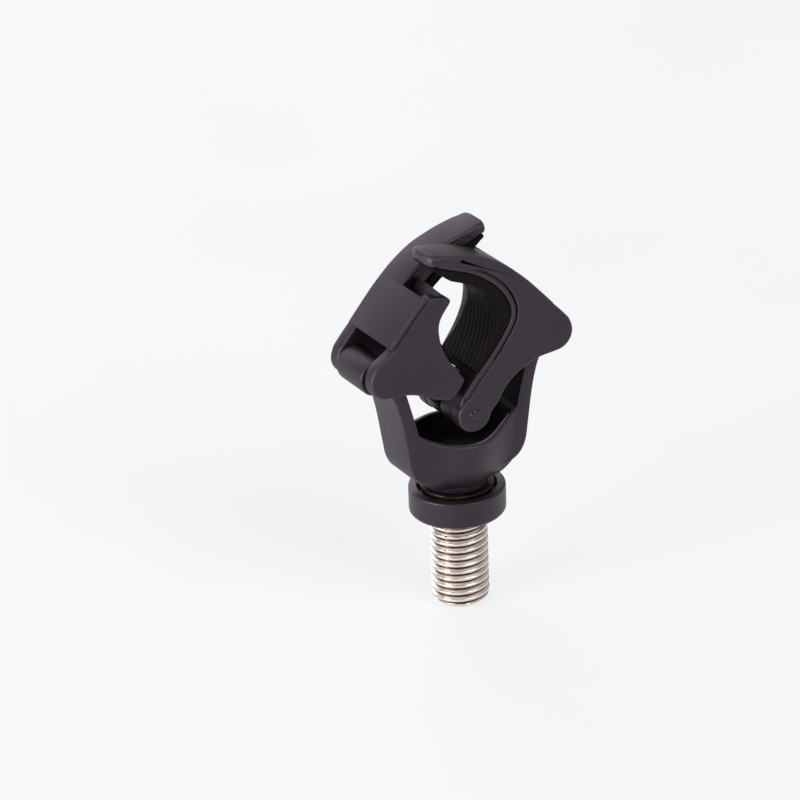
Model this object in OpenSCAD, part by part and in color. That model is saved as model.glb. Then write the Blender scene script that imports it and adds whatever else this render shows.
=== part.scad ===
// Self-closing rod clamp on a threaded stud.
// Two hooked jaws swing on pins in a forked yoke, cross like scissors and share
// one link pin, so they open and close together. A lock ring turns on the stud.
// Millimetres. Origin: stud axis at the underside of the lock ring, +Z up,
// the front of the clamp faces -Y and the hinge pins lie along Y.

/* [Stud] */
// Major diameter of the 3/8 inch thread
stud_d = 9.525; // [8:0.005:12]
// Length of stud below the lock ring
stud_free_len = 16.2; // [9:0.1:30]
// Chamfer at the tip of the stud
stud_tip_chamfer = 1.2; // [0.4:0.1:1.8]
// Width across flats of the head moulded into the yoke
stud_head_af = 8.8; // [8:0.1:9]
// Height of that head
stud_head_h = 2.8; // [2:0.1:3]
// Pitch of the thread, 20 threads to the inch
thread_pitch = 1.27; // [1:0.01:1.6]

/* [Lock ring] */
// Outer diameter of the lock ring
ring_d = 15.7; // [13:0.1:24]
// Height of the lock ring
ring_h = 4.7; // [3.8:0.1:8]
// Depth of the dish in the top of the lock ring
ring_dish_depth = 1.5; // [0.5:0.1:2]
// Width of the lock ring's top rim
ring_rim_w = 1.4; // [0.8:0.1:1.7]
// Radial play between the ring's bore and the stud
ring_play = 0.05; // [0.02:0.01:0.1]

/* [Washer] */
// Thickness of the flat washer between lock ring and yoke
washer_t = 0.8; // [0.5:0.1:1.2]
// Outer diameter of the flat washer
washer_d = 12; // [11:0.1:12.4]

/* [Yoke] */
// Free space under the washer, above the floor of the ring's dish
washer_lift = 1.1; // [0.6:0.1:1.5]
// Diameter of the foot
yoke_foot_d = 10.4; // [9.6:0.1:12]
// Outer diameter of the bowl at the bottom of the fork
bowl_d = 15; // [13.6:0.1:15.6]
// Depth of the arms where they leave the middle
arm_depth = 8.8; // [8:0.1:10]
// Depth of the knuckles at the top of the arms
knuckle_w = 7.6; // [6.6:0.1:8.4]

/* [Jaws] */
// Distance between the two hinge pins
hinge_span = 32; // [30:0.1:34]
// Height of the hinge pins above the ring's underside
hinge_z = 29; // [28.5:0.1:36]
// Depth of the jaws, front to back
jaw_depth = 13; // [12:0.1:18]
// Radius of the knuckles and of the ears beside them
knuckle_r = 2.9; // [2.4:0.1:3]
// Thickness of a jaw's outer wall
jaw_wall = 2; // [1.4:0.1:2.4]
// Thickness of the web that carries the pad
jaw_web = 1.7; // [1.2:0.1:2]
// Thickness of the soft pads
pad_t = 1.8; // [1:0.1:2]
// How far each jaw opens, in degrees
jaw_open = 38; // [20:1:40]

/* [Pins] */
// Diameter of the hinge pins
hinge_pin_d = 1.8; // [1.4:0.1:2]
// Diameter of the link pin
link_pin_d = 2.2; // [1.6:0.1:2.4]
// Radial play of a pin in a part that turns on it
pin_play = 0.06; // [0.03:0.01:0.1]
// Radial play of a hinge pin in the slots of the ears
slot_play = 0.1; // [0.08:0.01:0.15]

/* [Hidden] */
$fn = 96;

side_gap = 0.3;                         // free space between faces that pass each other
over = 0.05;                            // how far a cutter runs past a face
half = jaw_depth / 2;
pivot_x = hinge_span / 2;
link_drop = 9.7;                        // link pin below the hinge pins, jaws closed
link_z = hinge_z - link_drop;
closed_angle = atan2(link_drop, pivot_x);
link_rise = pivot_x * (tan(jaw_open - closed_angle) + tan(closed_angle));
cheek_t = half - knuckle_w / 2 - side_gap;  // the cheeks pass outside the knuckles
stud_r = stud_d / 2;
thread_pitch_r = stud_r - 0.32 * thread_pitch;  // where a Whitworth thread and its nut meet
pin_r = link_pin_d / 2;
foot_r = yoke_foot_d / 2;
washer_z = ring_h - ring_dish_depth + washer_lift;
yoke_foot_z = washer_z + washer_t;
head_z = yoke_foot_z + 1.9;

// ---- helpers -------------------------------------------------------------

// Extrudes a front-view outline along Y, from y0 to y1.
module slab(y0, y1) {
    translate([0, y1, 0])
        rotate([90, 0, 0])
            linear_extrude(y1 - y0)
                children();
}

// Round bar along Y.
module bar_y(x, z, r, y0, y1) {
    translate([x, y1, z])
        rotate([90, 0, 0])
            cylinder(h = y1 - y0, r = r);
}

function unit(v) = v / norm(v);
function left_of(v) = [-v[1], v[0]];

// Normal of an open path at point i, on the left of its direction.
function path_normal(p, i) =
    left_of(unit(p[min(i + 1, len(p) - 1)] - p[max(i - 1, 0)]));

// The same path moved sideways by d.
function moved(p, d) = [for (i = [0:len(p) - 1]) p[i] + d * path_normal(p, i)];
function backwards(p) = [for (i = [len(p) - 1:-1:0]) p[i]];

// Band between a path and the same path moved sideways.
module band(p, d0, d1) {
    polygon(concat(moved(p, d0), backwards(moved(p, d1))));
}

// ---- jaw outlines, for a jaw hinged on the right, in the front view --------

function part_of(p, a, b) = [for (i = [a:b]) p[i]];
function last(p) = len(p) - 1;

// Outer wall, from the hinge ear round to the finger tip.
back = [[17.9, 31.4], [15.1, 34.6], [12.8, 37.2], [10.5, 39.7], [8.5, 41.6], [7, 42.9],
        [5, 44.3], [3, 45.4], [0.9, 46.2], [-1.3, 46.9], [-3.5, 47.4], [-6.2, 48]];
// Rod side of the web, from the finger tip down to the crossing.
seat = [[-6.5, 46.3], [-5, 45.6], [-3.2, 44.9], [-1, 44], [1, 43], [2.9, 41.7], [4.4, 40.4], [5.7, 38.9],
        [6.7, 37.2], [7.2, 35.6], [7.1, 34.1], [6.4, 32.7], [4.9, 30.6], [3.3, 28.7], [1.4, 26.8]];
// Rod side of the tongue, from the crossing to the link pin's ear.
tongue_top = [[-0.2, 25.1], [-2, 22.9]];
// Underside of the tongue and of the body, from the link pin's ear to the hinge ear.
tongue_belly = [[3, 19], [4.5, 20.5], [5.6, 22.3]];
belly = [[7.4, 24], [9.9, 25.3], [12.2, 26], [14.4, 26.2]];
// Lower corner of the short cheek, beside the other jaw's tongue.
short_toe = [[1.7, 25.8], [3, 24.2], [4.6, 23]];
wall_start = 1;    // first point of the outer wall, above the window
notch_back = 4;    // points where the short side of the jaw stops
notch_seat = 6;
ear_r = 3;
hinge_c = [pivot_x, hinge_z];
link_c = [0, link_z];
ear_corner = [15.5, 29.3];
tip_c = [-6.2, 47.2];
tip_r = 0.8;
shoulder = [17.4, 27.4];

// Full cheek, on the side of the jaw that carries the finger.
module full_cheek() {
    polygon(concat(back, seat, tongue_top, [link_c], tongue_belly, belly, [shoulder]));
    translate(tip_c) circle(r = tip_r);
    translate(link_c) circle(r = ear_r);
    translate(ear_corner) circle(r = ear_r);
}

// Short cheek, on the other side: it covers the pad's edge and stops at the crossing.
module short_cheek() {
    rim = moved(seat, -pad_t);
    polygon(concat(part_of(back, 0, notch_back), [seat[notch_seat]], part_of(rim, notch_seat, last(rim) - 1),
            short_toe, belly, [shoulder]));
    translate(ear_corner) circle(r = ear_r);
}

// Outer wall with the finger, which thins towards the tip where it meets the web.
module finger_wall() {
    outside = part_of(back, wall_start, last(back));
    inside = moved(outside, jaw_wall);
    polygon(concat(outside, [seat[0]], backwards(part_of(inside, 0, last(inside) - 1))));
}

// Solid end of the tongue, round the link pin.
module tongue() {
    polygon(concat([seat[last(seat)]], tongue_top, [link_c], tongue_belly, [[4.6, 23.6]]));
    translate(link_c) circle(r = ear_r);
}

// A jaw hinged on the right with its finger to the front.
module jaw_shell() {
    // outer wall: full depth up to the notch, then the finger
    slab(-half, half) band(part_of(back, wall_start, notch_back), 0, jaw_wall);
    slab(-half, -side_gap) finger_wall();
    // web under the pad: full depth between the notch and the crossing
    slab(-half, half) band(part_of(seat, notch_seat, last(seat) - 1), 0, jaw_web);
    slab(-half, -side_gap) band(seat, 0, jaw_web);
    slab(-half, -half + cheek_t) full_cheek();
    slab(half - cheek_t, half) short_cheek();
    slab(-half, -side_gap) tongue();
}

// ---- parts -----------------------------------------------------------------

// The link pin rises evenly as the jaws open, so each hinge pin slides a little
// way towards it in the ears: this is the hinge pin's path, seen from the jaw.
function turned(p, a) = [p[0] * cos(a) - p[1] * sin(a), p[0] * sin(a) + p[1] * cos(a)];
function hinge_in_jaw(a) =
    link_c + turned(hinge_c - link_c - [0, link_rise * a / jaw_open], a);
slot_path = [for (i = [0:10]) hinge_in_jaw(jaw_open * i / 10)];
slot_r = hinge_pin_d / 2 + slot_play;
slot_skin = 0.7;   // the slots are blind: this much is left on the outside of each ear

module hinge_slot() {
    hull()
        for (p = slot_path)
            translate(p) circle(r = slot_r);
}

module jaw() {
    difference() {
        jaw_shell();
        slab(-half + slot_skin, half - slot_skin) hinge_slot();
        bar_y(0, link_z, pin_r + pin_play, -half - over, half + over);
    }
}

module right_jaw() {
    color("#3d393d") jaw();
}

module left_jaw() {
    color("#3d393d") rotate([0, 0, 180]) jaw();
}

module right_pad() {
    color("#171316") pad_shape();
}

module left_pad() {
    color("#171316") rotate([0, 0, 180]) pad_shape();
}

module pad_shape() {
    slab(-half + 0.5, half - cheek_t) band(part_of(seat, notch_seat, last(seat) - 1), -pad_t, 0);
    slab(-half + 0.5, -side_gap) band(part_of(seat, 0, last(seat) - 1), -pad_t, 0);
}

// The fork's outline on the right of the axis: foot, flank, arm and its inner side.
fork_side = [[0, 8], [5, 8], [7.6, 8.2], [9.5, 9.1], [10.5, 10.9], [11.1, 13.6], [11.9, 18.8], [12.7, 22.4]];
fork_inner = [[10.7, 24], [9.4, 19], [9, 16.8], [8.3, 15.4], [7.2, 14.7], [5.5, 14.3], [0, 14.3]];
fork_knee = [[12.7, 22.4], [13.6, 24.8], [15.6, 26.15], [18, 27.2], [14.2, 31.2], [13.1, 29.2], [10.7, 24],
             [10.3, 22.4]];
bowl_r = bowl_d / 2;
bowl_floor = 11;

// Bowl that widens from the foot to its rim.
module bowl_body() {
    rotate_extrude()
        polygon([[0, yoke_foot_z], [foot_r, yoke_foot_z], [foot_r, yoke_foot_z + 1], [foot_r + 1, 8.3],
                 [bowl_r - 0.4, 12], [bowl_r, 14.2], [bowl_r, 24], [0, 24]]);
}

// Hollow of the bowl.
module bowl_hollow() {
    rotate_extrude()
        polygon([[0, bowl_floor], [3.6, bowl_floor + 0.2], [5.4, bowl_floor + 1.2], [bowl_r - 1.1, 13.6],
                 [bowl_r - 1, 16], [0, 16]]);
}

module fork_half() {
    slab(-arm_depth / 2, arm_depth / 2)
        polygon(concat(fork_side, fork_inner));
    intersection() {
        slab(-bowl_d, bowl_d)
            polygon(concat([[0, yoke_foot_z - 1], [9.5, yoke_foot_z - 1]], part_of(fork_side, 3, last(fork_side)),
                    fork_inner));
        bowl_body();
    }
    slab(-knuckle_w / 2, knuckle_w / 2) {
        polygon(fork_knee);
        translate(hinge_c) circle(r = knuckle_r);
    }
}

module yoke() {
    color("#4a444a")
        difference() {
            union() {
                fork_foot();
                fork_half();
                mirror([1, 0, 0]) fork_half();
            }
            bowl_hollow();
            // seat of the stud and its head
            translate([0, 0, yoke_foot_z - over]) cylinder(h = head_z - yoke_foot_z + 2 * over, r = thread_pitch_r);
            translate([0, 0, head_z]) stud_head();
            bar_y(pivot_x, hinge_z, hinge_pin_d / 2, -half, half);
            bar_y(-pivot_x, hinge_z, hinge_pin_d / 2, -half, half);
        }
}

// Flanks under the arms, narrowing towards the round foot.
module fork_foot() {
    slab(-foot_r + 0.9, foot_r - 0.9)
        polygon([[-foot_r, yoke_foot_z + 0.6], [foot_r, yoke_foot_z + 0.6], [7.6, 7.5], [9.3, 9], [9.3, 9.6],
                 [-9.3, 9.6], [-9.3, 9], [-7.6, 7.5]]);
}

module stud_head() {
    cylinder(h = stud_head_h, r = stud_head_af / 2 / cos(30), $fn = 6);
}

module stud() {
    color("#b9aca4") {
        // free end at the crests; inside the ring and the yoke at the pitch diameter
        translate([0, 0, -stud_free_len + stud_tip_chamfer])
            cylinder(h = stud_free_len - stud_tip_chamfer, r = stud_r);
        cylinder(h = head_z, r = thread_pitch_r);
        translate([0, 0, -stud_free_len])
            cylinder(h = stud_tip_chamfer, r1 = stud_r - stud_tip_chamfer, r2 = stud_r);
        translate([0, 0, head_z]) stud_head();
    }
}

module washer() {
    color("#2a2729")
        translate([0, 0, washer_z])
            difference() {
                cylinder(h = washer_t, d = washer_d);
                translate([0, 0, -over]) cylinder(h = washer_t + 2 * over, r = thread_pitch_r + ring_play);
            }
}

module lock_ring() {
    color("#393539")
        rotate_extrude()
            difference() {
                polygon([[thread_pitch_r + ring_play, 0], [ring_d / 2 - 0.6, 0], [ring_d / 2, 0.6],
                    [ring_d / 2, ring_h - 0.3], [ring_d / 2 - 0.3, ring_h], [thread_pitch_r + ring_play, ring_h]]);
                translate([0, ring_h - ring_dish_depth]) square([ring_d / 2 - ring_rim_w, ring_dish_depth + over]);
            }
}

module hinge_pin(x) {
    color("#4d494d") bar_y(x, hinge_z, hinge_pin_d / 2, -half + slot_skin + 0.2, half - slot_skin - 0.2);
}

module left_hinge_pin() {
    hinge_pin(-pivot_x);
}

module right_hinge_pin() {
    hinge_pin(pivot_x);
}

module link_pin() {
    color("#4d494d") bar_y(0, link_z, pin_r, -half + 0.1, half - 0.1);
}

yoke();
stud();
washer();
lock_ring();
left_jaw();
right_jaw();
left_pad();
right_pad();
left_hinge_pin();
right_hinge_pin();
link_pin();
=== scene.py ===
"""Visible surfaces, finishes, light and camera of a self-closing rod clamp on a threaded stud.

Shapes are worked out in millimetres, in the part's own frame: the stud's axis is Z, its origin lies at the underside of
the lock ring, and the front of the clamp faces -Y. They become metres when a mesh is made.
"""

import logging
import math
from dataclasses import dataclass, field
from enum import Enum

import bmesh
import bpy
import numpy as np
from mathutils import Matrix, Vector

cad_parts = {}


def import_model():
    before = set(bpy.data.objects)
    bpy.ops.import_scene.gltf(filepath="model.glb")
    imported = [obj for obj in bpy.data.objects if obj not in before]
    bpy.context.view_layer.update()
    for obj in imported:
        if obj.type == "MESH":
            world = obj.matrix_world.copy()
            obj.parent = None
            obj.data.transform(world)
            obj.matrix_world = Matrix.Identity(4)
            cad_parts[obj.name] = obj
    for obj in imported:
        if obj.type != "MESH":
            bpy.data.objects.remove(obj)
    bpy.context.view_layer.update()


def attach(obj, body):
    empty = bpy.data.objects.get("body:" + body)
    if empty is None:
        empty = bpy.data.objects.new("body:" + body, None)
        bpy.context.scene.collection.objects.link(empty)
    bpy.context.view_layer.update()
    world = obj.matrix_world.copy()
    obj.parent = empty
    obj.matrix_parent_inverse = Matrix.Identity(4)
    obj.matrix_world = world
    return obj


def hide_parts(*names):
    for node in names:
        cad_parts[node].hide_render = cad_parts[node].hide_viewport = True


MM = 0.001
SHARP_ANGLE = math.radians(38)
log = logging.getLogger("clamp")


class Side(Enum):
    """Which way round a jaw is: the left one is the right one turned half round the stud's axis."""

    RIGHT = 1
    LEFT = -1


# ---- curves in the front view ------------------------------------------------


def curve_through(points: np.ndarray, step: float = 0.25) -> np.ndarray:
    """Catmull-Rom curve through the points, then spread evenly along its length.

    Each span is the usual cubic in t whose end slopes are half the chord between the neighbours.

    Args:
        points: corners of the path, one row each.
        step: distance between the points of the result, in mm.

    Returns:
        Rows of points along the curve.
    """
    p = np.asarray(points, float)
    q = np.vstack([2 * p[0] - p[1], p, 2 * p[-1] - p[-2]])
    t = np.linspace(0, 1, 16, endpoint=False)[None, :, None]
    a, b, c, d = (q[i : len(q) - 3 + i][:, None, :] for i in range(4))
    fine = 0.5 * (2 * b + (c - a) * t + (2 * a - 5 * b + 4 * c - d) * t**2 + (3 * b - a - 3 * c + d) * t**3)
    return evenly(np.vstack([fine.reshape(-1, p.shape[1]), p[-1:]]), step)


def evenly(path: np.ndarray, step: float) -> np.ndarray:
    """The same open path with its points evenly spaced: each coordinate is read off against the length run so far.

    Args:
        path: rows of points.
        step: wanted distance between points, in mm.

    Returns:
        Rows of points, the ends kept.
    """
    run = run_of(path)
    at = np.linspace(0, run[-1], max(2, int(round(run[-1] / step)) + 1))
    return np.stack([np.interp(at, run, path[:, k]) for k in range(path.shape[1])], axis=1)


def run_of(path: np.ndarray) -> np.ndarray:
    """Length along an open path at each of its points."""
    return np.concatenate([[0], np.cumsum(np.linalg.norm(np.diff(path, axis=0), axis=1))])


def left_normals(path: np.ndarray, closed: bool = False) -> np.ndarray:
    """Unit normals on the left of a path: the chord between the neighbours, turned a quarter turn.

    Args:
        path: rows of x and z.
        closed: whether the last point is followed by the first.

    Returns:
        One unit normal for each point.
    """
    chord = np.roll(path, -1, axis=0) - np.roll(path, 1, axis=0) if closed else np.gradient(path, axis=0)
    normal = np.stack([-chord[:, 1], chord[:, 0]], axis=1)
    return normal / np.linalg.norm(normal, axis=1, keepdims=True)


def shifted(path: np.ndarray, by: float | np.ndarray) -> np.ndarray:
    """An open path moved to its left by a distance, which may change along it."""
    return path + left_normals(path) * np.broadcast_to(by, len(path))[:, None]


def arc(centre: tuple[float, float], radius: float, start: float, end: float, step: float = 0.25) -> np.ndarray:
    """Part of a circle, from one angle to another in degrees, counter-clockwise."""
    angle = np.radians(np.linspace(start, end, max(3, int(abs(math.radians(end - start)) * radius / step))))
    return np.asarray(centre) + radius * np.stack([np.cos(angle), np.sin(angle)], axis=1)


def softened(outline: np.ndarray, step: float = 0.2, blur: float = 0.3) -> np.ndarray:
    """Closed outline with its corners rounded: even points, then a bell-shaped mean of each point's neighbours.

    Args:
        outline: rows of x and z, counter-clockwise.
        step: distance between points, in mm.
        blur: width of the bell, in mm.

    Returns:
        Rows of points of the closed outline.
    """
    ring = evenly(np.vstack([outline, outline[:1]]), step)[:-1]
    reach = int(math.ceil(3 * blur / step))
    taps = np.arange(-reach, reach + 1)
    weight = np.exp(-0.5 * (taps * step / blur) ** 2)
    index = (np.arange(len(ring))[:, None] + taps[None, :]) % len(ring)
    return np.einsum("k,nkc->nc", weight / weight.sum(), ring[index])


def ease(x: np.ndarray) -> np.ndarray:
    """Smooth step from 0 to 1: three x squared less two x cubed, held outside."""
    x = np.clip(x, 0, 1)
    return x * x * (3 - 2 * x)


# ---- surfaces ----------------------------------------------------------------


@dataclass
class Shell:
    """A closed surface: points in mm, faces as rows of indices, caps as loops, and a mask at each point for painted
    light: highlight on rounded edges, or thread height for grime and painted shade in the root.
    """

    points: np.ndarray
    quads: np.ndarray
    caps: list[np.ndarray]
    edge_light_and_crest: np.ndarray
    painted_shade: np.ndarray | None = None  # 1 at points that take the painted shade

    def turned_half(self) -> "Shell":
        """The same shell turned half round the stud's axis."""
        return Shell(self.points * [-1, -1, 1], self.quads, self.caps, self.edge_light_and_crest, self.painted_shade)


def grid_quads(rows: int, cols: int, wrap: bool = True) -> np.ndarray:
    """Faces of a grid of rows times cols points, the columns joined round if asked.

    Args:
        rows: number of rows.
        cols: number of points in a row.
        wrap: whether the last column meets the first.

    Returns:
        Rows of four indices.
    """
    r = np.arange(rows - 1)[:, None] * cols
    c = np.arange(cols if wrap else cols - 1)[None, :]
    n = (c + 1) % cols
    return np.stack([r + c, r + n, r + cols + n, r + cols + c], axis=-1).reshape(-1, 4)


def plate(outline: np.ndarray, y0: float, y1: float, edge: float = 0.35, steps: int = 4) -> Shell:
    """Plate between two Y faces with a rounded edge all round.

    Row by row the outline is drawn in by r minus r times sin t while Y leaves the face by r minus r times cos t, with t
    from 0 to a quarter turn. One more row lies flat just inside each face, so that the faces shade flat.

    Args:
        outline: counter-clockwise rows of x and z.
        y0: front face.
        y1: back face.
        edge: radius of the edge.
        steps: faces across the rounding.

    Returns:
        The closed shell.
    """
    t = np.linspace(0, np.pi / 2, steps + 1)
    inset = np.concatenate([[edge + 0.06], edge - edge * np.sin(t)])
    depth = np.concatenate([[0], edge - edge * np.cos(t)])
    # painted highlight: strongest halfway round the rounded edge, none on the flat faces
    edge_light_and_crest = np.concatenate([[0], np.sin(2 * t)])
    inset, edge_light_and_crest = np.concatenate([inset, inset[::-1]]), np.concatenate([edge_light_and_crest, edge_light_and_crest[::-1]])
    y = np.concatenate([y0 + depth, y1 - depth[::-1]])
    rows, cols = len(y), len(outline)
    xz = outline[None] + left_normals(outline, closed=True)[None] * inset[:, None, None]
    points = np.stack([xz[..., 0], np.broadcast_to(y[:, None], (rows, cols)), xz[..., 1]], axis=-1)
    loop = np.arange(cols)
    return Shell(points.reshape(-1, 3), grid_quads(rows, cols), [loop[::-1], loop + (rows - 1) * cols],
                 np.repeat(edge_light_and_crest, cols))


@dataclass(frozen=True)
class BarSection:
    """Rounded rectangle given by how each point follows the two half sizes and the corner radius."""

    across: np.ndarray
    across_round: np.ndarray
    along_y: np.ndarray
    y_round: np.ndarray

    @classmethod
    def make(cls, corner: int = 4, flank: int = 2) -> "BarSection":
        """Section with so many faces round each corner and so many along each side that faces across."""
        t = np.linspace(0, np.pi / 2, corner + 1)
        q = np.linspace(-1, 1, flank + 1)[1:-1]
        one, nil = np.ones_like(t), np.zeros_like(q)
        return cls(
            np.concatenate([one, nil + 1, one, -one, nil - 1, -one]),
            np.concatenate([np.sin(t), nil + 1, np.cos(t), -np.sin(t), nil - 1, -np.cos(t)]),
            np.concatenate([-one, q, one, one, -q, -one]),
            np.concatenate([-np.cos(t), nil, np.sin(t), np.cos(t), nil, -np.sin(t)]),
        )


def ribbon(path: np.ndarray, d0: float | np.ndarray, d1: float | np.ndarray, y0: float | np.ndarray,
           y1: float | np.ndarray, edge: float | np.ndarray = 0.35, section: BarSection | None = None,
           ripple: float = 0.0, end_round: float = 0.0, normals: np.ndarray | None = None) -> Shell:
    """Bar of rounded rectangular section along a path in the front view.

    At each point the section reaches from d0 to d1 to the left of the path and from y0 to y1, all of which may change
    along it. A point of the section is the middle plus its share of the half size less the corner radius, plus the
    radius times the cosine or sine of its angle. Ripples add a wave on the d0 side whose crests run slanting along it.

    Args:
        path: rows of x and z.
        d0: side towards the right of the path.
        d1: side towards the left.
        y0: front.
        y1: back.
        edge: corner radius.
        section: how the section is divided.
        ripple: height of the ripples on the d0 side.
        end_round: how far the two ends are drawn in at their edges.
        normals: the path's normals, where a point of it is doubled for a step.

    Returns:
        The closed shell.
    """
    section = section or BarSection.make()
    n = len(path)
    d0, d1, y0, y1 = (np.broadcast_to(v, n).astype(float) for v in (d0, d1, y0, y1))
    s = run_of(path)
    near = np.minimum(s, s[-1] - s)
    pull = np.zeros(n) if end_round <= 0 else end_round * (1 - np.sqrt(
        np.clip(1 - (1 - np.clip(near / end_round, 0, 1)) ** 2, 0, 1)))
    a, b = np.maximum((d1 - d0) / 2 - pull, 0.02), np.maximum((y1 - y0) / 2 - pull, 0.02)
    r = np.minimum(np.broadcast_to(edge, n), np.minimum(a, b) * 0.98)
    across = section.across * (a - r)[:, None] + section.across_round * r[:, None]
    depth = section.along_y * (b - r)[:, None] + section.y_round * r[:, None]
    middle, y_mid = (d0 + d1) / 2, (y0 + y1) / 2
    y = y_mid[:, None] + depth
    if ripple:
        free = (section.across < 0) & (section.across_round < -0.99)
        wave = 0.5 + 0.5 * np.sin(2 * np.pi * (y / 1.05 + s[:, None] / 2.6))
        across = across + np.where(free, ripple * wave, 0)
    offset = middle[:, None] + across
    normals = left_normals(path) if normals is None else normals
    xz = path[:, None, :] + normals[:, None, :] * offset[..., None]
    points = np.stack([xz[..., 0], y, xz[..., 1]], axis=-1)
    cols = len(section.across)
    # painted highlight: strongest halfway round each rounded corner
    edge_light_and_crest = np.broadcast_to(np.abs(section.across_round * section.y_round) * 2, (n, cols))
    loop = np.arange(cols)
    return Shell(points.reshape(-1, 3), grid_quads(n, cols), [loop[::-1], loop + (n - 1) * cols],
                 edge_light_and_crest.ravel())


def lathe(profile: np.ndarray, turns: int = 96) -> Shell:
    """Ring or disc: the profile's radius and height turned about Z, x being radius times cosine and y times sine.

    Args:
        profile: closed rows of radius and z, or an open one whose ends lie on the axis.
        turns: points round.

    Returns:
        The closed shell.
    """
    angle = np.linspace(0, 2 * np.pi, turns, endpoint=False)
    solid = profile[0, 0] < 1e-6
    body = profile[1:-1] if solid else np.vstack([profile, profile[:1]])
    radius, z = body[:, 0][:, None], body[:, 1][:, None]
    points = np.stack([radius * np.cos(angle), radius * np.sin(angle), np.broadcast_to(z, (len(body), turns))], axis=-1)
    loop = np.arange(turns)
    caps = [loop[::-1], loop + (len(body) - 1) * turns] if solid else []
    return Shell(points.reshape(-1, 3), grid_quads(len(body), turns), caps, np.zeros(len(body) * turns))


def piece(name: str, shells: list[Shell], material: bpy.types.Material, body: str,
          replaces: tuple[str, ...] = (), inner: bpy.types.Material | None = None) -> bpy.types.Object:
    """Makes one object from several closed shells, in metres, with its faces outward.

    Args:
        name: the object's name.
        shells: its surfaces.
        material: its finish.
        body: the body that carries it.
        replaces: the solid nodes that it stands for.
        inner: painted shade, a darker and duller copy of the nylon, for the faces whose points are all marked for it.

    Returns:
        The object.
    """
    start = np.cumsum([0] + [len(s.points) for s in shells])
    points = np.vstack([s.points for s in shells]) * MM
    faces = [f for s, at in zip(shells, start) for f in (s.quads + at).tolist()]
    faces += [(cap + at).tolist() for s, at in zip(shells, start) for cap in s.caps]
    mesh = bpy.data.meshes.new(name)
    mesh.from_pydata(points, [], faces)
    # mask of painted light: highlight on the nylon's rounded edges, thread height on the stud
    edge_light_and_crest = mesh.attributes.new("edge_light_and_crest", "FLOAT", "POINT")
    edge_light_and_crest.data.foreach_set("value", np.concatenate([s.edge_light_and_crest for s in shells]).astype(np.float32))
    if inner:
        painted_shade = mesh.attributes.new("painted_shade", "FLOAT", "POINT")
        marks = [np.zeros(len(s.points)) if s.painted_shade is None else s.painted_shade for s in shells]
        painted_shade.data.foreach_set("value", np.concatenate(marks).astype(np.float32))
    tidy_mesh(mesh)
    made = bpy.data.objects.new(name, mesh)
    bpy.context.scene.collection.objects.link(made)
    mesh.materials.append(material)
    if inner:
        mesh.materials.append(inner)
        paint_shaded_faces(mesh)
    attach(made, body)
    if replaces:
        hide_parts(*replaces)
    log.info("%s: %d faces on body %s", name, len(mesh.polygons), body)
    return made


def paint_shaded_faces(mesh: bpy.types.Mesh) -> None:
    """Gives the painted-shade material to each face whose points are all marked: the least mark over its corners is 1.
    """
    marks = np.empty(len(mesh.vertices), np.float32)
    mesh.attributes["painted_shade"].data.foreach_get("value", marks)
    corners, starts = np.empty(len(mesh.loops), np.int32), np.empty(len(mesh.polygons), np.int32)
    mesh.loops.foreach_get("vertex_index", corners)
    mesh.polygons.foreach_get("loop_start", starts)
    mesh.polygons.foreach_set("material_index", (np.minimum.reduceat(marks[corners], starts) > 0.5).astype(np.int32))


def tidy_mesh(mesh: bpy.types.Mesh) -> None:
    """Merges doubled points, turns every closed shell outward and marks the sharp edges."""
    work = bmesh.new()
    work.from_mesh(mesh)
    bmesh.ops.remove_doubles(work, verts=work.verts, dist=0.000001)
    bmesh.ops.dissolve_degenerate(work, edges=work.edges, dist=0.0000005)
    bmesh.ops.recalc_face_normals(work, faces=work.faces)
    work.to_mesh(mesh)
    work.free()
    mesh.shade_smooth()
    mesh.set_sharp_from_angle(angle=SHARP_ANGLE)
    mesh.update()


# ---- finishes ----------------------------------------------------------------


def linear(hex_colour: str) -> tuple[float, float, float, float]:
    """Linear colour of an sRGB hex value: the two-part sRGB curve undone."""
    c = np.array([int(hex_colour.lstrip("#")[i : i + 2], 16) for i in (0, 2, 4)]) / 255
    c = np.where(c <= 0.04045, c / 12.92, ((c + 0.055) / 1.055) ** 2.4)
    return (*c.tolist(), 1.0)


def add_node(tree: bpy.types.NodeTree, kind: str, settings: dict | None = None, values: dict | None = None,
             links: dict | None = None) -> bpy.types.Node:
    """Adds a shader node.

    Args:
        tree: the material's node tree.
        kind: the node's type name.
        settings: properties of the node.
        values: constants for its inputs, by name or number.
        links: output sockets to join to its inputs, by name or number.

    Returns:
        The node.
    """
    node = tree.nodes.new(kind)
    for key, value in (settings or {}).items():
        setattr(node, key, value)
    for key, value in (values or {}).items():
        node.inputs[key].default_value = value
    for key, socket in (links or {}).items():
        tree.links.new(socket, node.inputs[key])
    return node


def start_material(name: str) -> tuple[bpy.types.Material, bpy.types.NodeTree, bpy.types.Node]:
    """A new material with an empty tree and its output node."""
    material = bpy.data.materials.new(name)
    material.use_nodes = True
    tree = material.node_tree
    tree.nodes.clear()
    return material, tree, tree.nodes.new("ShaderNodeOutputMaterial")


def ramp(tree: bpy.types.NodeTree, socket: bpy.types.NodeSocket,
         stops: list[tuple[float, str]]) -> bpy.types.NodeSocket:
    """Colour ramp over a value, with its stops as positions and hex colours."""
    node = add_node(tree, "ShaderNodeValToRGB", links={"Fac": socket})
    while len(node.color_ramp.elements) < len(stops):
        node.color_ramp.elements.new(0.5)
    for element, (at, colour) in zip(node.color_ramp.elements, stops):
        element.position, element.color = at, linear(colour)
    return node.outputs["Color"]


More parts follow.
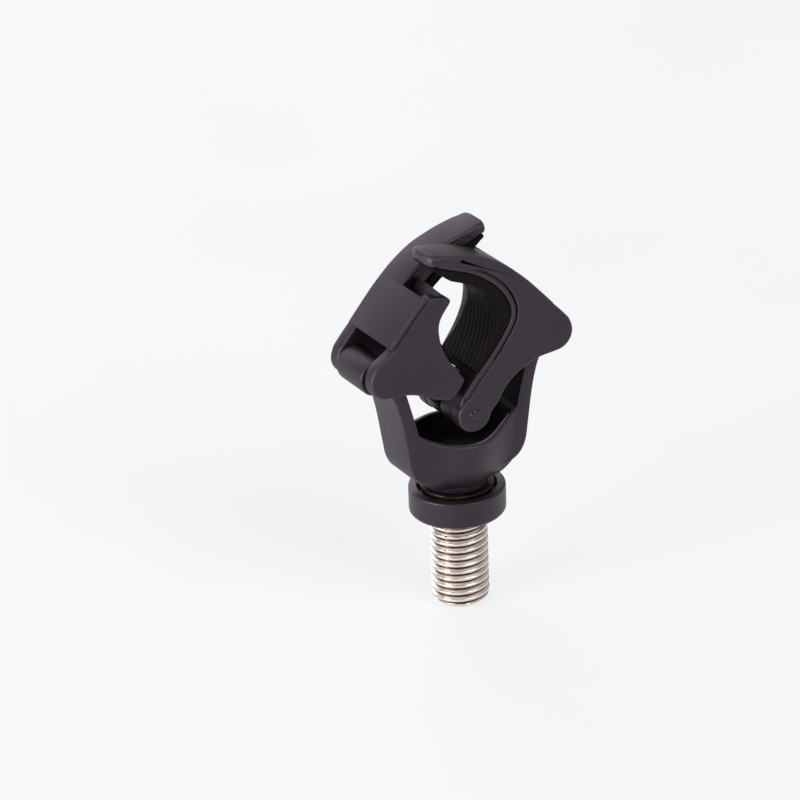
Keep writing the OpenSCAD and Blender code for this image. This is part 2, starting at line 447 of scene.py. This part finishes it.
@dataclass(frozen=True)
class MouldedNylon:
    """Glass-filled nylon from a spark-eroded mould: near black, an even fine grain, and a painted highlight along its
    rounded edges, broken up by the grain.
    """

    name: str = "moulded_nylon_black"
    dark: str = "#120f13"
    light: str = "#1c171d"
    # colour of the painted highlight on rounded edges
    edge_highlight: str = "#3a343a"
    sheen: str = "#ffeafc"
    grain_mm: float = 0.42  # the real grain is near 0.1 mm, too fine to show
    grain_height_mm: float = 0.02
    roughness: tuple[float, float] = (0.42, 0.56)
    gloss: float = 0.46

    def make(self) -> bpy.types.Material:
        """Builds the material."""
        material, tree, out = start_material(self.name)
        where = add_node(tree, "ShaderNodeTexCoord").outputs["Object"]
        flow = add_node(tree, "ShaderNodeTexNoise", {}, {"Scale": 1 / (6 * MM), "Detail": 4.0, "Roughness": 0.6},
                        {"Vector": where}).outputs["Fac"]
        grain = add_node(tree, "ShaderNodeTexNoise", {}, {"Scale": 1 / (self.grain_mm * MM), "Detail": 3.0,
                         "Roughness": 0.65}, {"Vector": where}).outputs["Fac"]
        base = ramp(tree, flow, [(0.35, self.dark), (0.65, self.light)])
        # painted highlight on rounded edges, broken up by the grain
        edge_light_and_crest = add_node(tree, "ShaderNodeAttribute", {"attribute_name": "edge_light_and_crest"}).outputs["Fac"]
        edge_highlight = add_node(tree, "ShaderNodeMath", {"operation": "MULTIPLY"}, {}, {0: edge_light_and_crest, 1: grain}).outputs["Value"]
        colour = add_node(tree, "ShaderNodeMix", {"data_type": "RGBA"}, {7: linear(self.edge_highlight)},
                          {"Factor": edge_highlight, 6: base}).outputs[2]
        rough = add_node(tree, "ShaderNodeMapRange", {}, {"From Min": 0.3, "From Max": 0.7,
                         "To Min": self.roughness[0], "To Max": self.roughness[1]}, {"Value": flow}).outputs["Result"]
        bump = add_node(tree, "ShaderNodeBump", {}, {"Strength": 0.8, "Distance": self.grain_height_mm * MM},
                        {"Height": grain}).outputs["Normal"]
        shader = add_node(tree, "ShaderNodeBsdfPrincipled", {}, {"IOR": 1.53, "Specular Tint": linear(self.sheen),
                          "Specular IOR Level": self.gloss},
                          {"Base Color": colour, "Roughness": rough, "Normal": bump})
        tree.links.new(shader.outputs["BSDF"], out.inputs["Surface"])
        return material


@dataclass(frozen=True)
class PadRubber:
    """Soft thermoplastic rubber moulded over the web: brown-black, dull, streaked along its ribs where dust settles."""

    name: str = "pad_rubber"
    dark: str = "#070506"
    light: str = "#141011"
    streak_mm: float = 0.55

    def make(self) -> bpy.types.Material:
        """Builds the material."""
        material, tree, out = start_material(self.name)
        where = add_node(tree, "ShaderNodeTexCoord").outputs["Object"]
        streak = add_node(tree, "ShaderNodeMapping", {}, {"Rotation": (0.0, 0.3, 0.0), "Scale": (0.5, 1.0, 0.22)},
                          {"Vector": where}).outputs["Vector"]
        lines = add_node(tree, "ShaderNodeTexNoise", {}, {"Scale": 1 / (self.streak_mm * MM), "Detail": 3.0,
                         "Roughness": 0.6}, {"Vector": streak}).outputs["Fac"]
        colour = ramp(tree, lines, [(0.38, self.dark), (0.72, self.light)])
        bump = add_node(tree, "ShaderNodeBump", {}, {"Strength": 0.9, "Distance": 0.05 * MM},
                        {"Height": lines}).outputs["Normal"]
        rough = add_node(tree, "ShaderNodeMapRange", {}, {"From Min": 0.3, "From Max": 0.7, "To Min": 0.5,
                         "To Max": 0.72}, {"Value": lines}).outputs["Result"]
        shader = add_node(tree, "ShaderNodeBsdfPrincipled", {}, {"IOR": 1.5, "Specular IOR Level": 0.1,
                          "Specular Tint": linear("#fff0ea")},
                          {"Base Color": colour, "Roughness": rough, "Normal": bump})
        tree.links.new(shader.outputs["BSDF"], out.inputs["Surface"])
        return material


@dataclass(frozen=True)
class TurnedSteel:
    """Stainless steel with a cut or rolled surface: bright, slightly warm, faint lines round the axis."""

    name: str
    bright: str
    dull: str
    roughness: float
    root: str = ""  # colour of the grime and painted shade in the bottom of a thread, if it has one
    line_mm: float = 0.25
    line_height_mm: float = 0.003

    def make(self) -> bpy.types.Material:
        """Builds the material."""
        material, tree, out = start_material(self.name)
        where = add_node(tree, "ShaderNodeTexCoord").outputs["Object"]
        stretched = add_node(tree, "ShaderNodeMapping", {}, {"Scale": (0.12, 0.12, 1.0)},
                             {"Vector": where}).outputs["Vector"]
        lines = add_node(tree, "ShaderNodeTexNoise", {}, {"Scale": 1 / (self.line_mm * MM), "Detail": 3.0},
                         {"Vector": stretched}).outputs["Fac"]
        patches = add_node(tree, "ShaderNodeTexNoise", {}, {"Scale": 1 / (2.2 * MM), "Detail": 4.0},
                           {"Vector": where}).outputs["Fac"]
        colour = ramp(tree, patches, [(0.3, self.dull), (0.65, self.bright)])
        # grime and painted shade: darker where the mask is low, in the bottom of the thread
        if self.root:
            height = add_node(tree, "ShaderNodeAttribute", {"attribute_name": "edge_light_and_crest"}).outputs["Fac"]
            clean_and_lit = add_node(tree, "ShaderNodeMapRange", {"interpolation_type": "SMOOTHSTEP"},
                             {"From Min": 0.06, "From Max": 0.55}, {"Value": height}).outputs["Result"]
            colour = add_node(tree, "ShaderNodeMix", {"data_type": "RGBA"}, {6: linear(self.root)},
                              {"Factor": clean_and_lit, 7: colour}).outputs[2]
        rough = add_node(tree, "ShaderNodeMapRange", {}, {"From Min": 0.3, "From Max": 0.7,
                         "To Min": self.roughness, "To Max": self.roughness + 0.14}, {"Value": lines}).outputs["Result"]
        bump = add_node(tree, "ShaderNodeBump", {}, {"Strength": 0.6, "Distance": self.line_height_mm * MM},
                        {"Height": lines}).outputs["Normal"]
        shader = add_node(tree, "ShaderNodeBsdfPrincipled", {}, {"Metallic": 1.0},
                          {"Base Color": colour, "Roughness": rough, "Normal": bump})
        tree.links.new(shader.outputs["BSDF"], out.inputs["Surface"])
        return material


@dataclass(frozen=True)
class MattPaint:
    """Matt paint of the table under the part, lit from within so that it stays an even pale tone."""

    name: str = "table_paint"
    colour: str = "#8b8c8d"
    shade: str = "#868788"
    glow: float = 0.71

    def make(self) -> bpy.types.Material:
        """Builds the material."""
        material, tree, out = start_material(self.name)
        where = add_node(tree, "ShaderNodeTexCoord").outputs["Object"]
        cloud = add_node(tree, "ShaderNodeTexNoise", {}, {"Scale": 1 / (80 * MM), "Detail": 2.0},
                         {"Vector": where}).outputs["Fac"]
        colour = ramp(tree, cloud, [(0.3, self.shade), (0.7, self.colour)])
        shader = add_node(tree, "ShaderNodeBsdfPrincipled", {}, {"Roughness": 0.9, "Specular IOR Level": 0.1,
                          "Emission Color": linear("#f8f9fb"), "Emission Strength": self.glow}, {"Base Color": colour})
        tree.links.new(shader.outputs["BSDF"], out.inputs["Surface"])
        return material


@dataclass
class Palette:
    """The finished materials, made once."""

    nylon: bpy.types.Material = field(default_factory=lambda: MouldedNylon().make())
    satin: bpy.types.Material = field(default_factory=lambda: MouldedNylon(
        name="moulded_nylon_satin", roughness=(0.34, 0.48)).make())
    # painted shade: a darker, duller copy of the nylon for the yoke's inner faces
    inner: bpy.types.Material = field(default_factory=lambda: MouldedNylon(
        name="moulded_nylon_painted_shade", dark="#040304", light="#080608", edge_highlight="#1c191c", roughness=(0.6, 0.75),
        gloss=0.1).make())
    rubber: bpy.types.Material = field(default_factory=lambda: PadRubber().make())
    # the stainless takes grime and painted shade in the bottom of its thread
    stainless: bpy.types.Material = field(default_factory=lambda: TurnedSteel(
        "rolled_stainless", "#f2e8e1", "#d5c9c1", 0.25, root="#453830").make())
    pin: bpy.types.Material = field(default_factory=lambda: TurnedSteel(
        "blackened_pin_steel", "#4a4547", "#2b282a", 0.2).make())
    washer: bpy.types.Material = field(default_factory=lambda: TurnedSteel(
        "oiled_washer_steel", "#4d4341", "#2b2523", 0.35).make())


# ---- the clamp's parts -------------------------------------------------------


@dataclass
class JawShape:
    """Outlines of a jaw hinged on the right with its finger to the front, in mm."""

    half: float = 6.5
    gap: float = 0.3
    cheek: float = 2.4
    wall: float = 2.0
    web: float = 1.7
    hinge: tuple[float, float] = (16.0, 29.0)
    ear: tuple[float, float] = (15.5, 29.3)
    link: tuple[float, float] = (0.0, 19.3)
    ear_r: float = 3.0
    back: np.ndarray = field(default_factory=lambda: np.array([
        [17.9, 31.4], [15.1, 34.6], [12.8, 37.2], [10.5, 39.7], [8.5, 41.6], [7, 42.9], [5, 44.3], [3, 45.4],
        [0.9, 46.2], [-1.3, 46.9], [-3.5, 47.4], [-6.2, 48]]))
    seat: np.ndarray = field(default_factory=lambda: np.array([
        [-6.5, 46.3], [-5, 45.6], [-3.2, 44.9], [-1, 44], [1, 43], [2.9, 41.7], [4.4, 40.4], [5.7, 38.9],
        [6.7, 37.2], [7.2, 35.6], [7.1, 34.1], [6.4, 32.7], [4.9, 30.6], [3.3, 28.7], [1.4, 26.8]]))
    tongue_top: np.ndarray = field(default_factory=lambda: np.array([[-0.2, 25.1], [-2.0, 22.9]]))
    belly: np.ndarray = field(default_factory=lambda: np.array([
        [3, 19], [4.5, 20.5], [5.6, 22.3], [7.4, 24], [9.9, 25.3], [12.2, 26], [14.4, 26.2]]))
    short_rod_side: np.ndarray = field(default_factory=lambda: np.array([
        [4.4, 40.7], [3.7, 39.9], [4.7, 38.6], [5.7, 37.1], [6.0, 35.6], [5.9, 34.2], [5.5, 32.3], [4.4, 29.9],
        [3.0, 27.8], [1.6, 25.9]]))
    short_toe: np.ndarray = field(default_factory=lambda: np.array([[2.9, 24.0], [4.4, 22.9]]))
    notch_x: float = 8.5
    window_x: float = 15.1


@dataclass
class Jaw:
    """One jaw: outer wall with its finger, web, two cheeks, tongue, pad and the marks of its pins."""

    side: Side
    shape: JawShape = field(default_factory=JawShape)
    bead: float = 0.8
    groove: float = 0.3
    tip_run: float = 1.5  # length over which the finger's tip rounds off
    tip_back: float = 0.4  # how much of that lies before the end of the back's curve
    tip_steps: int = 18
    tip_power: float = 3.6  # 2 gives an ellipse, more a squarer tip

    def __post_init__(self) -> None:
        """Works out the smooth curves that the jaw's surfaces follow."""
        self.back = curve_through(self.shape.back, 0.2)
        self.seat = curve_through(np.vstack([self.shape.seat, self.shape.tongue_top]), 0.2)

    def wall_shells(self) -> list[Shell]:
        """Outer wall above the window, full depth as far as the notch, and the finger with its rounded tip.

        Past the notch the back edge steps to the crossing plane. At the tip the depth is the half depth times the root
        of one less a power of the share of the last stretch that is run.
        """
        k = self.shape
        path = self.back[self.back[:, 0] <= k.window_x]
        notch = int(np.argmin(np.abs(path[:, 0] - k.notch_x)))
        beyond = np.linspace(0.06, self.tip_run - self.tip_back, self.tip_steps)
        ahead = (path[-1] - path[-3]) / np.linalg.norm(path[-1] - path[-3])
        reach = run_of(path)
        last = np.clip((reach - reach[-1] + self.tip_back) / self.tip_run, 0, 1)
        s_tip = np.concatenate([last, (self.tip_back + beyond) / self.tip_run])
        path = np.vstack([path, path[-1] + ahead * beyond[:, None]])
        normals = np.insert(left_normals(path), notch, left_normals(path)[notch], axis=0)
        path, s_tip = np.insert(path, notch, path[notch], axis=0), np.insert(s_tip, notch, 0.0)
        past = np.arange(len(path)) > notch
        s = run_of(path)
        left = s[len(s) - self.tip_steps - 1] - s
        thick = 0.9 + 1.0 * ease((3.2 - left) / 1.6)
        round_off = np.sqrt(np.clip(1 - s_tip**self.tip_power, 0.0004, 1))
        y0 = np.full(len(path), -k.half)
        y1 = np.where(past, -k.gap, k.half)
        mid, deep = (y0 + y1) / 2, (y1 - y0) / 2
        deep = deep * np.where(s_tip > 0, round_off, 1)
        flat = np.where(s_tip > 0, round_off**0.8, 1)
        skin = ribbon(path, (1 - flat) * thick / 2, thick - (1 - flat) * thick / 2, mid - deep, mid + deep,
                      0.42 + 0.4 * ease((2.2 - left) / 2.0), normals=normals)
        keep = left > 0.6
        deep_y = np.where(past[keep], -k.gap - 0.25, k.half - 0.5)
        x = path[keep][:, 0]
        front = -k.half + 0.45 - 0.33 * ease((3.5 - x) / 3.5)
        deep_d = 1.85 + 0.6 * ease((x + 2.5) / 1.5) * ease((5.5 - x) / 2.0)
        core = ribbon(path[keep], 0.35, deep_d, front, deep_y, 0.25, normals=normals[keep])
        return [skin, core]

    def web_shells(self) -> list[Shell]:
        """Web under the pad, full depth below the notch, the tongue's upper rim and the bead beside the pad."""
        k = self.shape
        seat = self.seat[self.seat[:, 1] > 25.9]
        low = (seat[:, 1] < 40.5) & (seat[:, 1] > 27.5)
        deep = np.where(low, k.half - 0.7, -k.gap - 0.2)
        web = ribbon(seat[2:], 0.12, k.web, -k.half + 0.75, deep[2:], 0.25)
        tail = self.seat[(self.seat[:, 1] < 28.6) & (self.seat[:, 1] > 21.2)]
        rim = ribbon(tail, 0.0, 0.95, -k.half, -k.gap, 0.3)
        bead = ribbon(self.seat[self.seat[:, 1] > 27.2][4:], 0.02, self.bead, -k.half + 0.02, -k.half + 1.6, 0.3)
        return [web, rim, bead]

    def full_outline(self) -> np.ndarray:
        """Outline of the cheek that carries the finger, drawn in behind the finger's rim and past the bead's groove."""
        k = self.shape
        back = self.back[self.back[:, 0] > -2.2]
        back = shifted(back, 0.1 * ease((16.5 - back[:, 0]) / 2.0) + 0.5 * ease((6.5 - back[:, 0]) / 5.0))
        seat = shifted(self.seat[(self.seat[:, 0] > -2.2) | (self.seat[:, 1] < 40)], self.bead + self.groove)
        return np.vstack([back, seat, arc(k.link, k.ear_r, 150, 354), self.belly_run(), arc(k.ear, k.ear_r, -85, 21)])

    def belly_run(self) -> np.ndarray:
        """Underside from the link pin's ear to the hinge ear."""
        return curve_through(self.shape.belly, 0.2)[1:-1]

    def short_outline(self) -> np.ndarray:
        """Outline of the other cheek, drawn in behind the outer wall's rim."""
        k = self.shape
        back = self.back[(self.back[:, 0] > 7.9) & (self.back[:, 0] < 17.9)]
        back = shifted(back, 1.0 * ease((17.6 - back[:, 0]) / 2.6))
        belly = self.belly_run()
        belly = belly[belly[:, 0] > 7.2]
        return np.vstack([back, curve_through(k.short_rod_side, 0.2), k.short_toe, belly,
                          arc(k.ear, k.ear_r, -85, 21)])

    def cheek_shells(self) -> list[Shell]:
        """The two cheeks and the solid block of the tongue between them and the crossing plane."""
        k = self.shape
        full = plate(softened(self.full_outline()), -k.half, -k.half + k.cheek, 0.4)
        short = plate(softened(self.short_outline()), k.half - k.cheek, k.half - 0.02, 0.4)
        tail = self.seat[(self.seat[:, 1] < 27.2)]
        belly = self.belly_run()
        belly = belly[belly[:, 0] < 6.5]
        block = np.vstack([shifted(tail, 0.3), arc(k.link, k.ear_r - 0.15, 150, 354), shifted(belly, 0.2),
                           [[4.6, 23.6]]])
        tongue = plate(softened(block), -k.half + 0.5, -k.gap, 0.3)
        return [full, short, tongue]

    def pin_marks(self) -> list[Shell]:
        """A faint round land over the end of the hinge pin, on the cheek that carries the finger."""
        k = self.shape
        return [plate(arc(k.hinge, 1.3, 0, 359, 0.1), -k.half - 0.06, -k.half + 0.4, 0.06, 2)]

    def build(self, palette: Palette) -> list[bpy.types.Object]:
        """Makes the jaw and its pad and sets them on their body.

        Args:
            palette: the finishes.

        Returns:
            The pieces.
        """
        k = self.shape
        name = "right" if self.side is Side.RIGHT else "left"
        shells = self.wall_shells() + self.web_shells() + self.cheek_shells() + self.pin_marks()
        seat = curve_through(np.vstack([k.seat, [[0.7, 26.1]]]), 0.16)
        low = (seat[:, 1] < 40.3) & (seat[:, 1] > 26.3)
        s = run_of(seat)
        thin = (1.0 + 0.8 * ease((seat[:, 1] - 29.0) / 6.0)) * (0.4 + 0.6 * ease(s / 4.5))
        dense = BarSection.make(3, 44)
        pad = ribbon(seat, -thin, -0.06, -k.half + 0.22, np.where(low, k.half - k.cheek, -k.gap - 0.1),
                     0.22, dense, ripple=0.06, end_round=0.15)
        if self.side is Side.LEFT:
            shells, pad = [x.turned_half() for x in shells], pad.turned_half()
        body = name + "_jaw"
        log.info("%s pad runs %.1f mm along its seat", name, s[-1])
        return [piece(name + "_jaw_moulding", shells, palette.nylon, body, (name + "_jaw",)),
                piece(name + "_pad_ribbed", [pad], palette.rubber, body, (name + "_pad",))]


@dataclass
class Yoke:
    """Fork that carries both hinge pins: round foot, bowl and two arms ending in knuckles."""

    foot_z: float = 5.1
    foot_r: float = 5.2
    knuckle_r: float = 2.9
    knuckle_half: float = 3.8
    arm_half: float = 4.3
    hinge: tuple[float, float] = (16.0, 29.0)
    outer: np.ndarray = field(default_factory=lambda: np.array([
        [16.2, 26.6], [14.9, 25.9], [13.6, 24.8], [12.7, 22.4], [11.9, 18.8], [11.1, 13.6], [10.6, 10.9], [9.5, 9.0],
        [7.6, 7.9], [5.2, 7.4], [2.4, 7.3], [0, 7.3]]))
    inner: np.ndarray = field(default_factory=lambda: np.array([
        [14.2, 30.2], [12.4, 28.0], [11.1, 25.2], [10.3, 22.4], [9.4, 19.0], [8.9, 16.8], [8.2, 15.1], [7.7, 13.4],
        [6.6, 11.8], [4.6, 11.0], [2.2, 10.9], [0, 10.9]]))
    levels: np.ndarray = field(default_factory=lambda: np.array([
        # height, half width, half depth at the arms, bulge of the front and back
        [6.15, 5.6, 3.3, 1.75], [6.3, 6.0, 3.5, 1.8], [7.0, 6.9, 3.8, 1.75], [8.0, 7.9, 4.05, 1.85],
        [9.0, 8.6, 4.15, 2.1], [11.0, 9.2, 4.2, 2.65], [13.0, 9.4, 4.22, 3.05], [14.0, 9.4, 4.22, 3.2],
        [14.35, 9.2, 4.1, 3.12],
        [14.45, 8.8, 3.75, 3.05], [14.3, 8.5, 3.5, 2.9], [13.5, 8.3, 3.35, 2.75], [12.4, 7.6, 3.0, 2.4],
        [11.5, 6.2, 2.4, 2.0], [11.1, 4.4, 1.6, 1.6]]))

    def bowl_shell(self) -> Shell:
        """Bowl at the bottom of the fork, lofted through its levels.

        On a level x runs as the half width times the sine of a quarter turn times its share, and y is the half depth at
        the arms plus the bulge times the squared cosine of a quarter turn of x over the half width. Near the rim the
        height gains three times the cube of x over 9.2, so that the rim runs up into the arms.

        Returns:
            The closed shell.
        """
        level = curve_through(self.levels, 0.12)
        share = np.linspace(-1, 1, 61)
        x = level[:, 1:2] * np.sin(np.pi / 2 * share)
        y = level[:, 2:3] + level[:, 3:4] * np.cos(np.pi / 2 * np.sin(np.pi / 2 * share)) ** 2
        x, y = np.hstack([x, x[:, ::-1]]), np.hstack([-y, y[:, ::-1]])
        rows, cols = x.shape
        z = level[:, :1] + 3.0 * np.abs(x / 9.2) ** 3 * ease((level[:, :1] - 10.5) / 3.5)
        points = np.stack([x, y, z], axis=-1)
        # painted highlight along the bowl's rim
        edge_light_and_crest = np.exp(-(((level[:, 0] - 14.4) / 0.25) ** 2))
        loop = np.arange(cols)
        # inner faces of the bowl take the painted shade
        row = np.arange(rows)[:, None] - np.argmax(level[:, 0])
        inside = ((row > 2) | ((row > -3) & (np.abs(x) > 7.6))).astype(float)
        return Shell(points.reshape(-1, 3), grid_quads(rows, cols), [loop[::-1], loop + (rows - 1) * cols],
                     np.repeat(edge_light_and_crest, cols), inside.ravel())

    def fork_shell(self, edge: float) -> Shell:
        """Fork as a bar lofted between the outer and the inner curve, mirrored about the axis.

        Points are paired by their share of each curve, and the half depth is the same all along.

        Args:
            edge: radius of the edges.

        Returns:
            The closed shell.
        """
        share = np.linspace(0, 1, 90)
        out, inn = (curve_through(c, 0.1) for c in (self.outer, self.inner))
        pick = [np.stack([np.interp(share, np.linspace(0, 1, len(c)), c[:, k]) for k in (0, 1)], 1) for c in (out, inn)]
        out, inn = (np.vstack([c, c[-2::-1] * [-1, 1]]) for c in pick)
        across = inn - out
        size = np.linalg.norm(across, axis=1)
        across = across / size[:, None]
        section = BarSection.make(5, 2)
        middle = (out + inn) / 2
        n = section.across * (size / 2 - edge)[:, None] + section.across_round * edge
        y = np.broadcast_to(section.along_y * (self.arm_half - edge) + section.y_round * edge, n.shape)
        xz = middle[:, None, :] + across[:, None, :] * n[..., None]
        points = np.stack([xz[..., 0], y, xz[..., 1]], axis=-1)
        rows, cols = n.shape
        # painted highlight: strongest halfway round each rounded edge
        edge_light_and_crest = np.broadcast_to(np.abs(section.across_round * section.y_round) * 2, (rows, cols))
        loop = np.arange(cols)
        # inner faces of the arms take the painted shade
        return Shell(points.reshape(-1, 3), grid_quads(rows, cols), [loop[::-1], loop + (rows - 1) * cols],
                     edge_light_and_crest.ravel(), np.tile(section.across_round > 0.8, rows) * 1.0)

    def build(self, palette: Palette) -> list[bpy.types.Object]:
        """Makes the yoke.

        Args:
            palette: the finishes.

        Returns:
            The pieces.
        """
        ring = arc(self.hinge, self.knuckle_r, 0, 357, 0.2)
        knuckles = [plate(ring * [s, 1] if s > 0 else (ring * [s, 1])[::-1], -self.knuckle_half, self.knuckle_half, 0.3)
                    for s in (1, -1)]
        z, r = self.foot_z, self.foot_r - 0.1
        foot = lathe(np.array([[0, z], [r - 0.35, z], [r - 0.1, z + 0.08], [r, z + 0.3], [r, z + 1.3], [0, z + 1.3]]))
        shells = [self.fork_shell(0.5), self.bowl_shell(), foot, *knuckles]
        # the yoke's inner faces get the painted shade finish
        return [piece("yoke_moulding", shells, palette.nylon, "yoke", ("yoke",), palette.inner)]


@dataclass
class Stud:
    """Threaded stud: crests of a 20 threads to the inch Whitworth form, with a rounded chamfer at the tip."""

    major_r: float = 4.7625
    pitch: float = 1.27
    depth_share: float = 0.52  # rolled crests and roots leave less than the full form
    tip_z: float = -16.2
    top_z: float = 5.4
    chamfer: float = 1.2

    def build(self, palette: Palette) -> list[bpy.types.Object]:
        """Makes the stud. Its radius is the major radius less the thread's depth times a rounded triangle of the height
        over the pitch less the share of a turn, and never more than the tip's cone allows.

        Args:
            palette: the finishes.

        Returns:
            The pieces.
        """
        turns = 112
        angle = np.linspace(0, 2 * np.pi, turns, endpoint=False)[None, :]
        z = np.arange(self.tip_z, self.top_z, 0.075)[:, None]
        phase = (z / self.pitch - angle / (2 * np.pi)) % 1.0
        saw = np.abs(2 * phase - 1)
        form = np.clip(0.62 + (saw - 0.5) * 1.3, 0, 1)
        form = form * form * (3 - 2 * form) * 0.45 + form * 0.55
        depth = self.depth_share * self.pitch
        radius = self.major_r - depth * (1 - form)
        above = z - self.tip_z
        lip = 0.22 * np.clip(1 - above / 0.35, 0, 1) ** 2
        cone = self.major_r - self.chamfer + np.minimum(above, self.chamfer) - lip
        radius = np.minimum(radius, np.where(above < self.chamfer, cone, 99))
        radius = np.where(z > 0, np.minimum(radius, self.major_r - 0.32 * self.pitch), radius)
        points = np.stack([radius * np.cos(angle), radius * np.sin(angle), np.broadcast_to(z, radius.shape)], axis=-1)
        loop = np.arange(turns)
        # the mask is the thread's height, so the root takes grime and painted shade; none near the tip
        shell = Shell(points.reshape(-1, 3), grid_quads(len(z), turns), [loop[::-1], loop + (len(z) - 1) * turns],
                      np.where(z > self.tip_z + 0.9, form, 1).ravel())
        return [piece("stud_threaded", [shell], palette.stainless, "yoke", ("stud",))]


@dataclass
class LockRing:
    """Ring that turns on the stud, with a dished top, and the flat washer over it."""

    outer_r: float = 7.85
    height: float = 4.7
    dish: float = 1.5
    rim: float = 1.4
    bore_r: float = 4.42
    washer_z: float = 4.3
    washer_t: float = 0.8
    washer_r: float = 6.0

    def build(self, palette: Palette) -> list[bpy.types.Object]:
        """Makes the ring and the washer.

        Args:
            palette: the finishes.

        Returns:
            The pieces.
        """
        r, h = self.outer_r, self.height
        ring = np.array([[self.bore_r, 0], [r - 0.5, 0], [r, 0.5], [r, h - 0.2], [r - 0.2, h], [r - self.rim, h],
                         [r - self.rim - 0.35, h - self.dish], [self.bore_r, h - self.dish]])
        z, t = self.washer_z, self.washer_t
        flat = np.array([[self.bore_r, z], [self.washer_r, z], [self.washer_r, z + t], [self.bore_r, z + t]])
        return [piece("lock_ring_turned", [lathe(softened(ring, 0.08, 0.14), 128)], palette.satin, "lock_ring",
                      ("lock_ring",)),
                piece("washer_flat", [lathe(softened(flat, 0.06, 0.08))], palette.washer, "yoke",
                      ("washer",))]


@dataclass
class Pins:
    """Link pin with its domed head, and the two hidden hinge pins."""

    link: tuple[float, float] = (0.0, 19.3)
    hinge: tuple[float, float] = (16.0, 29.0)
    half: float = 6.5

    def pin(self, centre: tuple[float, float], radius: float, reach: float) -> Shell:
        """Round pin along Y with rounded ends."""
        return plate(arc(centre, radius, 0, 356, 0.12), -reach, reach, radius * 0.45, 5)

    def build(self, palette: Palette) -> list[bpy.types.Object]:
        """Makes the pins.

        Args:
            palette: the finishes.

        Returns:
            The pieces.
        """
        x, z = self.hinge
        made = [piece("link_pin_domed", [self.pin(self.link, 1.05, self.half + 0.25)], palette.pin, "link",
                      ("link_pin",))]
        for name, at in (("left", -x), ("right", x)):
            made.append(piece(name + "_hinge_pin_plain", [self.pin((at, z), 0.9, self.half - 0.9)], palette.pin, "yoke",
                              (name + "_hinge_pin",)))
        return made


# ---- the room ----------------------------------------------------------------


@dataclass
class Studio:
    """Pale table, soft light from the left, the back and the front, and the camera."""

    azimuth: float = -29.75
    elevation: float = 25.9
    roll: float = 2.32
    distance: float = 600.0
    lens: float = 167.9
    aim: tuple[float, float] = (-9.28, 17.4)
    floor_z: float = -16.25
    table_half: float = 3000.0
    sky: float = 0.45

    def axes(self) -> tuple[np.ndarray, np.ndarray, np.ndarray]:
        """Right, up and towards the camera: the two screen axes turned by the roll."""
        a, e, r = (math.radians(v) for v in (self.azimuth, self.elevation, self.roll))
        away = np.array([math.sin(a) * math.cos(e), -math.cos(a) * math.cos(e), math.sin(e)])
        right = np.array([math.cos(a), math.sin(a), 0])
        up = np.array([-math.sin(a) * math.sin(e), math.cos(a) * math.sin(e), math.cos(e)])
        return right * math.cos(r) - up * math.sin(r), right * math.sin(r) + up * math.cos(r), away

    def build_camera(self) -> None:
        """Sets the camera up."""
        right, up, away = self.axes()
        target = right * self.aim[0] + up * self.aim[1]
        camera = bpy.data.objects.new("camera", bpy.data.cameras.new("camera"))
        bpy.context.scene.collection.objects.link(camera)
        camera.data.lens, camera.data.sensor_width = self.lens, 36.0
        camera.data.clip_start, camera.data.clip_end = 0.01, 20.0
        turn = Matrix(np.stack([right, up, away], axis=1).tolist()).to_4x4()
        camera.matrix_world = Matrix.Translation(Vector(((target + away * self.distance) * MM).tolist())) @ turn
        bpy.context.scene.camera = camera

    def build_light(self, name: str, place: tuple[float, float, float], size: float, power: float,
                    colour: str) -> None:
        """Square soft light that faces the clamp.

        Args:
            name: the light's name.
            place: where it stands, in mm.
            size: its side, in mm.
            power: its power in watts.
            colour: its colour as hex.
        """
        data = bpy.data.lights.new(name, "AREA")
        data.energy, data.size, data.color = power, size * MM, linear(colour)[:3]
        lamp = bpy.data.objects.new(name, data)
        bpy.context.scene.collection.objects.link(lamp)
        at = Vector(place) * MM
        aim = Vector((0, 0, 22 * MM)) - at
        lamp.matrix_world = Matrix.Translation(at) @ aim.to_track_quat("-Z", "Y").to_matrix().to_4x4()

    def build(self) -> None:
        """Makes the room."""
        self.build_camera()
        scene = bpy.context.scene
        scene.view_settings.view_transform = "Standard"
        world = bpy.data.worlds.new("pale_room")
        scene.world = world
        world.use_nodes = True
        background = world.node_tree.nodes["Background"]
        background.inputs["Color"].default_value = linear("#f9fafc")
        background.inputs["Strength"].default_value = self.sky
        self.build_light("key", (-700, -60, 150), 380, 5.4, "#fffaf8")
        self.build_light("back", (60, 620, 290), 700, 2.5, "#fffaff")
        self.build_light("front", (120, -560, 500), 420, 2.2, "#fffdfc")
        half, z = self.table_half * MM, self.floor_z * MM
        mesh = bpy.data.meshes.new("table")
        mesh.from_pydata([(-half, -half, z), (half, -half, z), (half, half, z), (-half, half, z)], [], [(0, 1, 2, 3)])
        table = bpy.data.objects.new("table", mesh)
        scene.collection.objects.link(table)
        mesh.materials.append(MattPaint().make())


def main() -> None:
    """Builds the room and the clamp's parts in order."""
    logging.basicConfig(level=logging.INFO, format="%(message)s")
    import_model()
    Studio().build()
    palette = Palette()
    for part in (Stud(), LockRing(), Yoke(), Pins(), Jaw(Side.LEFT), Jaw(Side.RIGHT)):
        made = part.build(palette)
        log.info("%s: %d pieces", type(part).__name__, len(made))


if __name__ == "__main__":
    main()
